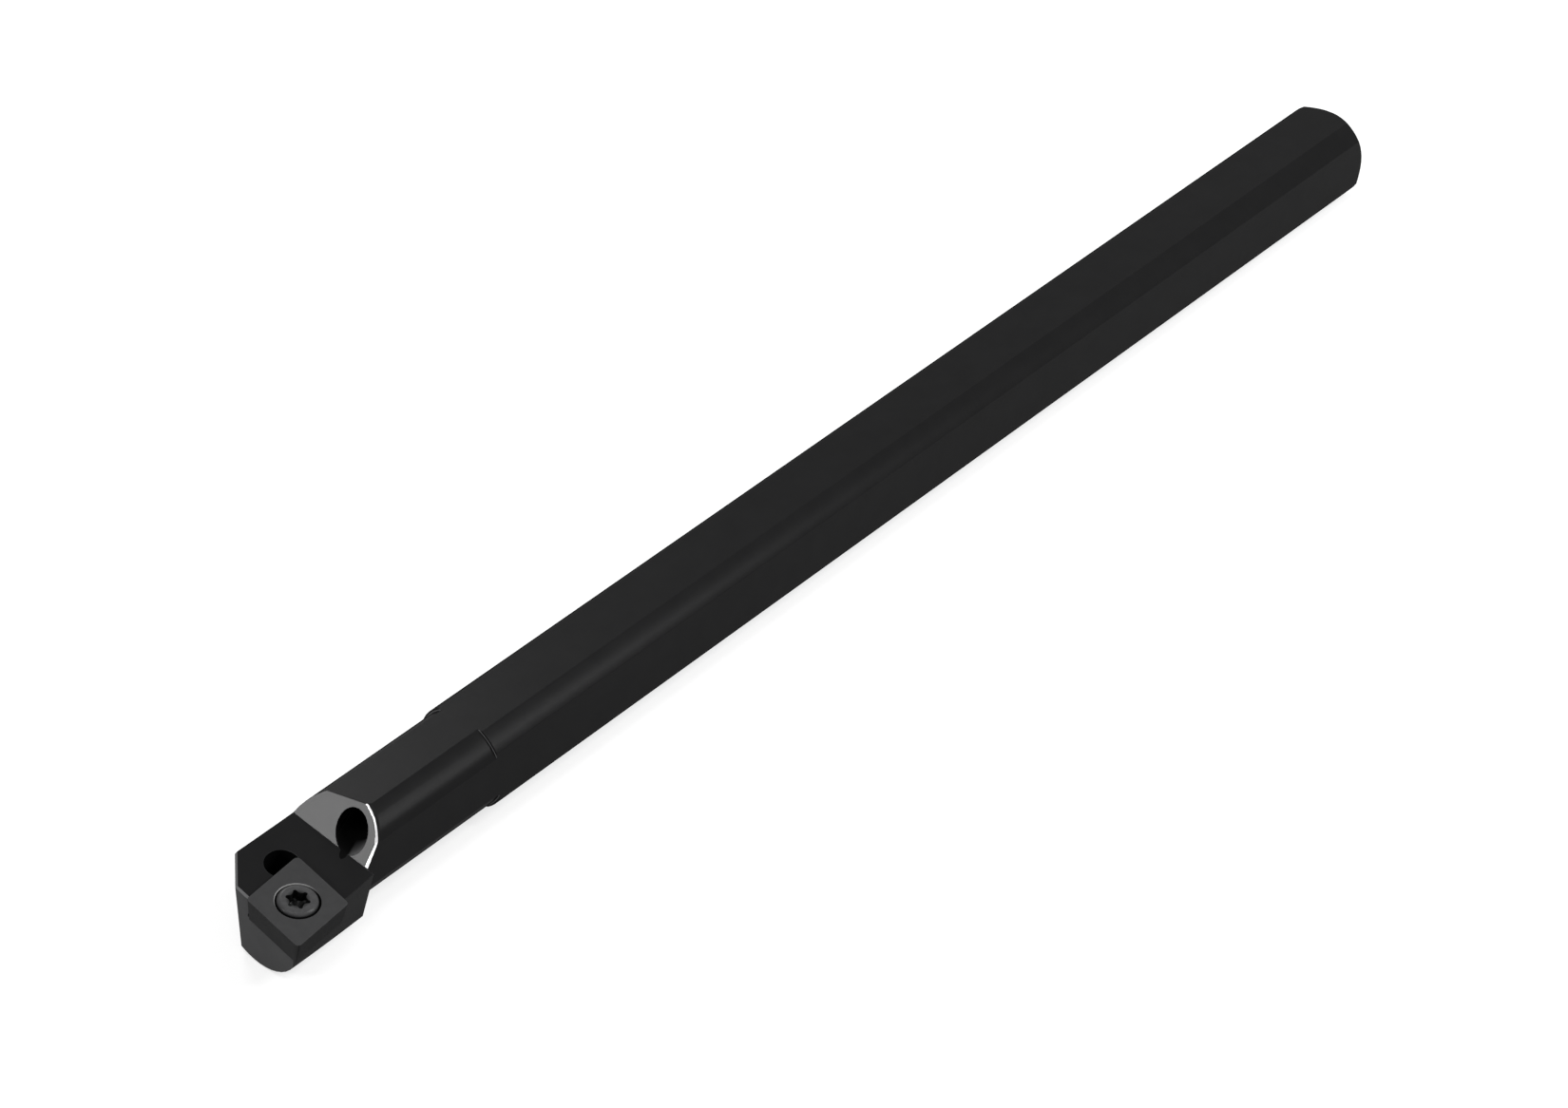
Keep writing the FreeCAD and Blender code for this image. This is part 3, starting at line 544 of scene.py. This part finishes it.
# %% [markdown]
# ## Black oxide on ground and turned steel
# The bar is turned, ground flat on three sides, milled at the head, and then blackened in a hot bath.
# The skin is thin, so it keeps the marks of each tool: rings on the turned rounds, long lines on
# the ground flats, and arcs of the cutter on the milled faces. Which tool made a face is read from
# the direction the face looks in. The milled faces of the head that look ahead are painted a lighter
# grey, a painted highlight for the light that falls on them, and a thin painted highlight lies on the
# foot of the step between shank and neck. The skin is full of fine pores, so it doesn't gleam when
# it is seen at a low angle. A plain Principled shader would, so towards such angles it is mixed with
# a matt one by Layer Weight.
#
# Four faces of the head differ, and each gets a copy with its own values. The gullet wall is
# smoother, because chips and coolant run down it, and it is painted a lighter grey as well, a painted
# highlight for the lamp it faces. The narrow bevel at the edge of the pocket's floor is painted light
# grey, a painted highlight. The drilled outlet is painted near black inside as shade, with a painted
# highlight on the side of its lip that the light reaches, and the drilled relief in the pocket's
# corner is painted near black all over as shade.

# %% Helpers: which way a face looks, and the shader that all the finishes share
MATT_ALL = 0.90


def facing(tree, way, direction, least, soft=0.01):
    """1 where the surface looks along the direction to within the least cosine, 0 elsewhere."""
    meet = vectors(tree, "DOT_PRODUCT", way, tuple(float(c) for c in direction))
    return spread(tree, meet, 0.0, 1.0, least - soft, least)


def surface(tree, out, colour, roughness, height, depth, strength, specular,
            metallic=0.0, matt_from=0.50):
    """A Principled shader with linked colour, roughness and bump, which turns matt at low angles.

    The share of the matt shader runs from 0 where Facing is matt_from to 1 where it is MATT_ALL.
    """
    skin = tree.nodes.new("ShaderNodeBsdfPrincipled")
    skin.inputs["Specular IOR Level"].default_value = specular
    put(tree, skin.inputs["Metallic"], metallic)
    pores = tree.nodes.new("ShaderNodeBsdfDiffuse")
    grazing = tree.nodes.new("ShaderNodeLayerWeight")
    grazing.inputs["Blend"].default_value = 0.5
    shaded = tree.nodes.new("ShaderNodeMixShader")
    bump = tree.nodes.new("ShaderNodeBump")
    bump.inputs["Strength"].default_value = strength
    bump.inputs["Distance"].default_value = depth
    put(tree, skin.inputs["Base Color"], colour)
    put(tree, skin.inputs["Roughness"], roughness)
    put(tree, bump.inputs["Height"], height)
    put(tree, skin.inputs["Normal"], bump.outputs[0])
    put(tree, pores.inputs["Color"], colour)
    put(tree, shaded.inputs[0], spread(tree, grazing.outputs["Facing"], 0.0, 1.0, matt_from, MATT_ALL))
    put(tree, shaded.inputs[1], skin.outputs[0])
    put(tree, shaded.inputs[2], pores.outputs[0])
    put(tree, out.inputs["Surface"], shaded.outputs[0])


# %% The oxide finish as a function
WALL_WAY = np.array([0.7490, 0.1434, 0.6469])  # the gullet wall looks this way
WALL_FOOT = np.array([142.09, 0.23382, 1.05471]) * MM  # a point on the wall, at its foot
CUTTER_CENTRE = (0.1560, -0.0040, 0.0)
AHEAD, LEFT, TOP, UNDER = (1, 0, 0), (0, 1, 0), (0, 0, 1), (0, 0, -1)
HEAD_FROM, HEAD_FULL = 0.130, 0.131  # x where the head's finish sets in
STEP_FOOT = (0.00459, 0.00461)  # radius of the neck at the foot of the step
LIP = (-0.0016, -0.0002)  # depth under the wall over which the outlet's lip gets its painted highlight
LIP_LIGHT_WAY = (0.30, -0.74, 0.60)
# The first level is the grey of rubbed edges; the second is a painted highlight at the foot of the step.
RUBBED_LEVEL, FOOT_HIGHLIGHT_LEVEL = 0.09, 0.12


def number_along(tree, place, label):
    """The X, Y or Z of a place."""
    parts = tree.nodes.new("ShaderNodeSeparateXYZ")
    put(tree, parts.inputs[0], place)
    return parts.outputs[label]


def under_wall(tree, place):
    """Signed distance from the gullet wall's plane, less than 0 inside the steel."""
    return vectors(
        tree, "DOT_PRODUCT", vectors(tree, "SUBTRACT", place, tuple(WALL_FOOT)), tuple(WALL_WAY))


def oxide_steel(name, specular, dark, light, smoother, lip_highlight_level=None):
    """Blackened steel with the marks of the tool that made each face.

    dark is the grey of most faces; light is a painted highlight, the lighter grey of the faces on the
    head that look ahead, for the light that falls on them. smoother scales the roughness, and the last
    argument is the grey of a painted highlight on the side of a hole's rim that the light reaches.
    """
    made, tree, out = new_material(name)
    where = tree.nodes.new("ShaderNodeTexCoord")
    place, way = where.outputs["Object"], where.outputs["Normal"]
    turned = use_group(tree, straight_lines, Place=place, Stretch=(7000.0, 90.0, 90.0))
    ground = use_group(tree, straight_lines, Place=place, Stretch=(70.0, 6500.0, 6500.0))
    milled = use_group(tree, rings_round, Place=place, Centre=CUTTER_CENTRE, Axis=tuple(UPWARD),
                       Lines_per_metre=8000.0)
    turned, ground, milled = (marks.outputs["Height"] for marks in (turned, ground, milled))
    clouds = use_group(tree, oxide_mottle, Place=place, Clouds_per_metre=420.0)
    mottle, grit = clouds.outputs["Mottle"], clouds.outputs["Grit"]
    upright = sums(tree, "MAXIMUM", facing(tree, way, TOP, 0.99), facing(tree, way, UNDER, 0.99))
    is_flat = sums(tree, "MAXIMUM", upright, facing(tree, way, LEFT, 0.99))
    on_head = spread(tree, number_along(tree, place, "X"), 0.0, 1.0, HEAD_FROM, HEAD_FULL)
    looks_ahead = facing(tree, way, AHEAD, 0.66, soft=0.06)
    lit_ahead = sums(tree, "MULTIPLY", looks_ahead, on_head)
    sideways = sums(
        tree, "MAXIMUM", facing(tree, way, UPWARD, 0.995), facing(tree, way, ACROSS, 0.995))
    marks = blend(tree, is_flat, turned, ground)
    marks = blend(tree, sums(tree, "MAXIMUM", sideways, lit_ahead), marks, milled)
    # Painted highlight: the faces of the head that look ahead take the lighter grey, for the light that
    # falls on them.
    level = blend(tree, lit_ahead, dark, light)
    # Painted highlight: a lighter grey on the side of the hole's lip that looks towards the light.
    if lip_highlight_level:
        near_mouth = spread(tree, under_wall(tree, place), 0.0, 1.0, *LIP)
        lip_highlight = sums(tree, "MULTIPLY", near_mouth, facing(tree, way, LIP_LIGHT_WAY, 0.98, soft=0.50))
        level = blend(tree, lip_highlight, level, lip_highlight_level)
    level = sums(tree, "MULTIPLY", level, spread(tree, mottle, 0.93, 1.07))
    worn = use_group(tree, rubbed_edges, Reach=0.00010, Patchy=0.45).outputs["Rubbed"]
    worn = sums(tree, "MULTIPLY", worn, spread(tree, mottle, 0.15, 0.55))
    level = blend(tree, worn, level, RUBBED_LEVEL)
    # Painted highlight: a thin lighter band on the step face next to the neck, where the lamps draw a
    # bright line.
    about = use_group(tree, rings_round, Place=place, Axis=AHEAD).outputs["Radius"]
    foot_highlight = sums(tree, "SUBTRACT", looks_ahead, on_head)
    foot_highlight = sums(tree, "MULTIPLY", foot_highlight, spread(tree, about, 1.0, 0.0, *STEP_FOOT))
    level = blend(tree, foot_highlight, level, FOOT_HIGHLIGHT_LEVEL)
    tint = tree.nodes.new("ShaderNodeCombineColor")
    for label, share in (("Red", 1.0), ("Green", 1.0), ("Blue", 1.02)):
        put(tree, tint.inputs[label], sums(tree, "MULTIPLY", level, share))
    satin = spread(
        tree, sums(tree, "ADD", marks, grit), 0.215 * smoother, 0.265 * smoother, 0.7, 1.3)
    relief = sums(tree, "ADD", marks, sums(tree, "MULTIPLY", grit, 0.35))
    surface(tree, out, tint.outputs[0], satin, relief,
            depth=0.0012 * MM, strength=0.5, specular=specular)
    return made


# %% Make the oxide finishes
# The bar's lighter grey for the faces of the head that look ahead is a painted highlight.
bar_skin = oxide_steel(
    "bar_black_oxide", specular=0.018, dark=0.0105, light=0.0690, smoother=1.0)
# Smoother finish and painted highlight: the gullet wall's lighter grey stands in for the lamp's light on
# it.
wall_skin_and_highlight = oxide_steel(
    "gullet_wall_oxide_and_painted_highlight", specular=0.075, dark=0.030, light=0.030, smoother=0.65)
# Painted highlight: the bevel at the edge of the pocket's floor is light grey for the lamp's light on
# it.
floor_bevel_highlight = oxide_steel(
    "floor_bevel_oxide_painted_highlight", specular=0.075, dark=0.110, light=0.130, smoother=0.8)
# Painted shade and painted highlight: the outlet is near black inside, with a lighter grey on the lit
# side of its lip.
outlet_shade_and_highlight = oxide_steel(
    "outlet_oxide_painted_shade_and_highlight", specular=0.010, dark=0.003, light=0.003, smoother=0.8, lip_highlight_level=0.11)
# Painted shade: the drilled relief in the pocket's corner is near black all over.
relief_hole_shade = oxide_steel(
    "relief_hole_oxide_painted_shade", specular=0.010, dark=0.003, light=0.003, smoother=1.2)
print("oxide finishes:", sorted(made.name for made in bpy.data.materials if "oxide" in made.name))

# %% [markdown]
# ## The bare bevel and its painted highlight
# One narrow bevel, beside the gullet wall on the cutting side, shines white: there the skin is gone
# and bare steel shows, and the white strip is also a painted highlight, drawn where the lamp's glint
# falls. It keeps the lines of the stone that broke the edge. The bare strip ends at a depth under the
# wall that grows from the bar's top to the foot of the wall, and below that line the bevel is as black
# as the rest.

# %% Material of the bare bevel with its painted highlight
BARE_FOOT, BARE_TOP = 0.19 * MM, 0.06 * MM  # how far under the wall the steel is bare
FOOT_Z, TOP_Z = 0.3 * MM, 3.6 * MM
BARE_SOFT = 0.006 * MM

bare_bevel_and_highlight, tree, out = new_material("bare_bevel_painted_highlight")
place = tree.nodes.new("ShaderNodeTexCoord").outputs["Object"]
stone = use_group(tree, straight_lines, Place=place, Stretch=(900.0, 900.0, 9000.0)).outputs["Height"]
mottle = use_group(tree, oxide_mottle, Place=place, Clouds_per_metre=2500.0).outputs["Mottle"]
reach = spread(tree, number_along(tree, place, "Z"), BARE_FOOT, BARE_TOP, FOOT_Z, TOP_Z)
reach = sums(tree, "MULTIPLY", reach, spread(tree, mottle, 0.92, 1.08))
# Bare steel and painted highlight: the metallic light strip lies where the lamp's glint falls on the
# bevel.
bare_and_highlight = spread(tree, sums(tree, "ADD", under_wall(tree, place), reach), 0.0, 1.0, -BARE_SOFT, BARE_SOFT)
steel = blend(tree, mottle, (0.60, 0.60, 0.61, 1), (0.72, 0.72, 0.73, 1), True)
colour = blend(tree, bare_and_highlight, (0.0125, 0.0125, 0.0128, 1), steel, True)
surface(tree, out, colour, spread(tree, stone, 0.22, 0.34), stone,
        depth=0.002 * MM, strength=0.4, specular=0.02, metallic=bare_and_highlight)

# %% [markdown]
# ## The coated insert
# The insert is pressed carbide, ground and coated. Its top is a satin grey. The flanks are painted
# darker as shade: the flank that looks ahead is a little darker and the flank on the cutting side is
# darker still. A hair along the cutting edge is honed lighter. The cone under the screw's head is
# painted near black as shade, apart from its mouth, which carries a painted highlight: a thin bright
# crescent, only on the side of the cone that looks towards the lamps, at its far side.

# %% Material of the insert
CONE_EDGE = (1.93 * MM, 1.97 * MM)  # radius from the screw's axis at which the cone ends
MOUTH_FROM = (1.85 * MM, 1.87 * MM)  # radius at which the painted highlight on its mouth begins
# The cone's near black is painted shade, and its mouth's bright grey is a painted highlight on the side
# that looks towards the lamps.
LIT_FAR_SIDE = (0.286, 0.905, 0.310)
CONE_SHADE_LEVEL, MOUTH_HIGHLIGHT_LEVEL = 0.004, 0.26


def grey_pair(tree, share, first, second, blue):
    """Goes between two greys with a little more blue in them."""
    greys = ((level, level, level + blue, 1) for level in (first, second))
    return blend(tree, share, *greys, True)


insert_skin, tree, out = new_material("insert_coating")
where = tree.nodes.new("ShaderNodeTexCoord")
place, way = where.outputs["Object"], where.outputs["Normal"]
ground = use_group(tree, straight_lines, Place=place, Stretch=(9000.0, 300.0, 9000.0))
ground = ground.outputs["Height"]
about = use_group(tree, rings_round, Place=place, Centre=tuple(SCREW_CENTRE), Axis=tuple(UPWARD),
                  Lines_per_metre=9000.0)
mottle = use_group(tree, oxide_mottle, Place=place, Clouds_per_metre=1300.0)
is_top = facing(tree, way, UPWARD, 0.95)
in_cone = spread(tree, about.outputs["Radius"], 1.0, 0.0, *CONE_EDGE)
in_cone = sums(tree, "MULTIPLY", in_cone, sums(tree, "SUBTRACT", 1.0, is_top))
cloud = mottle.outputs["Mottle"]
# The top keeps the coating's own grey; the flanks are painted darker as shade, the side flank more than
# the one that looks ahead.
upper = grey_pair(tree, cloud, 0.0390, 0.0435, 0.0007)
side_flank_shade = grey_pair(tree, cloud, 0.0170, 0.0200, 0.0003)
ahead_flank_shade = grey_pair(tree, cloud, 0.0300, 0.0345, 0.0004)
flank_shade = blend(tree, facing(tree, way, AHEAD, 0.66, soft=0.06), side_flank_shade, ahead_flank_shade, True)
colour = blend(tree, is_top, flank_shade, upper, True)
# Painted shade and highlight in the cone: near black inside, and a bright crescent on the mouth only
# where it looks towards the lamps.
lit_mouth_side = facing(tree, way, LIT_FAR_SIDE, 0.70, soft=0.40)
at_mouth = spread(tree, about.outputs["Radius"], 0.0, 1.0, *MOUTH_FROM)
cone_shade_and_highlight = blend(tree, sums(tree, "MULTIPLY", at_mouth, lit_mouth_side), CONE_SHADE_LEVEL, MOUTH_HIGHLIGHT_LEVEL)
cone_paint = tree.nodes.new("ShaderNodeCombineColor")
for label in ("Red", "Green", "Blue"):
    put(tree, cone_paint.inputs[label], cone_shade_and_highlight)
colour = blend(tree, in_cone, colour, cone_paint.outputs[0], True)
worn = use_group(tree, rubbed_edges, Reach=0.00012, Patchy=0.3).outputs["Rubbed"]
worn = sums(tree, "MULTIPLY", worn, spread(tree, cloud, 0.35, 0.8))
colour = blend(tree, worn, colour, (0.085, 0.085, 0.086, 1), True)
rings, grit = about.outputs["Height"], mottle.outputs["Grit"]
satin = spread(tree, sums(tree, "ADD", ground, grit), 0.38, 0.46, 0.7, 1.3)
satin = blend(tree, in_cone, satin, spread(tree, rings, 0.20, 0.26))
relief = sums(tree, "ADD", blend(tree, in_cone, ground, rings), grit)
surface(tree, out, colour, satin, relief,
        depth=0.001 * MM, strength=0.5, specular=0.006, matt_from=0.42)
plate.data.materials.append(insert_skin)
print("insert finish:", insert_skin.name, "nodes:", len(tree.nodes))

# %% [markdown]
# ## The screw
# The screw is turned, so its head carries fine rings round its own axis. Its skin is the same black
# oxide. The faces of the head that look up are painted a lighter grey as a highlight, and the socket
# and all the other faces are painted near black as shade.

# %% Material of the screw
SOCKET_TO_HEAD = (0.70 * MM, 1.05 * MM)  # radius over which the socket's painted shade ends

screw_skin, tree, out = new_material("screw_black_oxide")
where = tree.nodes.new("ShaderNodeTexCoord")
place, way = where.outputs["Object"], where.outputs["Normal"]
about = use_group(tree, rings_round, Place=place, Centre=tuple(SCREW_CENTRE), Axis=tuple(UPWARD),
                  Lines_per_metre=11000.0)
mottle = use_group(tree, oxide_mottle, Place=place, Clouds_per_metre=2200.0)
looks_up = facing(tree, way, UPWARD, 0.75, soft=0.45)
outside = spread(tree, about.outputs["Radius"], 0.0, 1.0, *SOCKET_TO_HEAD)
# Painted highlight and painted shade: faces that look up, away from the socket, take the lighter grey;
# the socket and all other faces take near black.
lit_head_faces = sums(tree, "MULTIPLY", looks_up, outside)
shade = grey_pair(tree, mottle.outputs["Mottle"], 0.040, 0.056, 0.001)
colour = blend(tree, lit_head_faces, (0.006, 0.006, 0.0062, 1), shade, True)
rings = about.outputs["Height"]
satin = spread(tree, sums(tree, "ADD", rings, mottle.outputs["Grit"]), 0.24, 0.34, 0.7, 1.3)
surface(tree, out, colour, satin, rings, depth=0.002 * MM, strength=0.6, specular=0.08)
screw.data.materials.append(screw_skin)
print("screw finish:", screw_skin.name, "nodes:", len(tree.nodes))

# %% [markdown]
# ## Which face wears which finish
# On the real bar the whole part goes into one bath, and some differences come from the tools before
# it and the hands after it. Others are painted light and shade: the lighter gullet wall and floor
# bevel, the white strip on the wall's bevel, which is also bare steel, and the near black outlet and
# relief hole. Painting masks by hand would do, but the faces can be told apart by where they are and
# which way they look, so a few array comparisons pick them out.

# %% Measure the faces of the bar
def away_from(points, centre, axis):
    """Distance of each point from the line through the centre along the axis."""
    offset = points - centre
    return np.linalg.norm(offset - np.outer(offset @ axis, axis), axis=1)


OUTLET_YAW = math.radians(22)
OUTLET_CENTRE = np.array([140.88, 1.525, 2.10]) * MM
OUTLET_AXIS = np.array([math.cos(OUTLET_YAW), math.sin(OUTLET_YAW), 0.0])
OUTLET_WALL, RELIEF_WALL, WALL_PLAY = 1.42 * MM, 1.5 * MM, 0.06 * MM
RELIEF_CENTRE = (np.array([146.76, 0.0, 0.0]) - 1.007 * ACROSS) * MM
INSERT_PROUD, RELIEF_DEEP = 0.335 * MM, 3.2 * MM
FLOOR_HEIGHT = SCREW_CENTRE @ UPWARD - INSERT_PROUD
HEAD_START, FRONT_START = 138 * MM, 148 * MM

count = len(bar.data.polygons)
face_way, face_middle = np.zeros(count * 3), np.zeros(count * 3)
bar.data.polygons.foreach_get("normal", face_way)
bar.data.polygons.foreach_get("center", face_middle)
face_way, face_middle = face_way.reshape(-1, 3), face_middle.reshape(-1, 3)
print("faces of the bar:", count)

# %% Pick the faces of the head
lean = face_way @ WALL_WAY
depth = (face_middle - WALL_FOOT) @ WALL_WAY
height = face_middle @ UPWARD
at_head = face_middle[:, 0] > HEAD_START
on_wall = at_head & (lean > 0.9999)
on_bevel = (np.abs(depth) < 0.25 * MM) & (lean > 0.60) & (lean < 0.96)
on_bevel &= (face_middle[:, 1] > 0) & (face_way[:, 0] > 0.2)
from_outlet = away_from(face_middle, OUTLET_CENTRE, OUTLET_AXIS)
in_outlet = at_head & (np.abs(from_outlet - OUTLET_WALL) < WALL_PLAY)
in_outlet &= np.abs(face_way @ OUTLET_AXIS) < 0.1
from_relief = away_from(face_middle, RELIEF_CENTRE, UPWARD)
in_relief = at_head & (from_relief < 1.52 * MM) & (np.abs(from_relief - RELIEF_WALL) < WALL_PLAY)
in_relief &= (height < FLOOR_HEIGHT - 0.02 * MM) & (height > FLOOR_HEIGHT - RELIEF_DEEP)
slant = face_way @ UPWARD
on_edge = at_head & (np.abs(height - FLOOR_HEIGHT) < 0.2 * MM) & (slant > 0.5) & (slant < 0.95)
on_edge &= face_middle[:, 0] > FRONT_START

# %% Give the faces their finishes
finishes = (
    # material, the faces that wear it
    (bar_skin, np.ones(count, bool)),
    (wall_skin_and_highlight, on_wall),
    (bare_bevel_and_highlight, on_bevel),
    (floor_bevel_highlight, on_edge),
    (outlet_shade_and_highlight, in_outlet),
    (relief_hole_shade, in_relief),
)
finish_of = np.zeros(count, np.int32)
for place_in_list, (finish, chosen) in enumerate(finishes):
    bar.data.materials.append(finish)
    finish_of[chosen] = place_in_list
    print(finish.name, "faces:", int(chosen.sum()))
bar.data.polygons.foreach_set("material_index", finish_of)
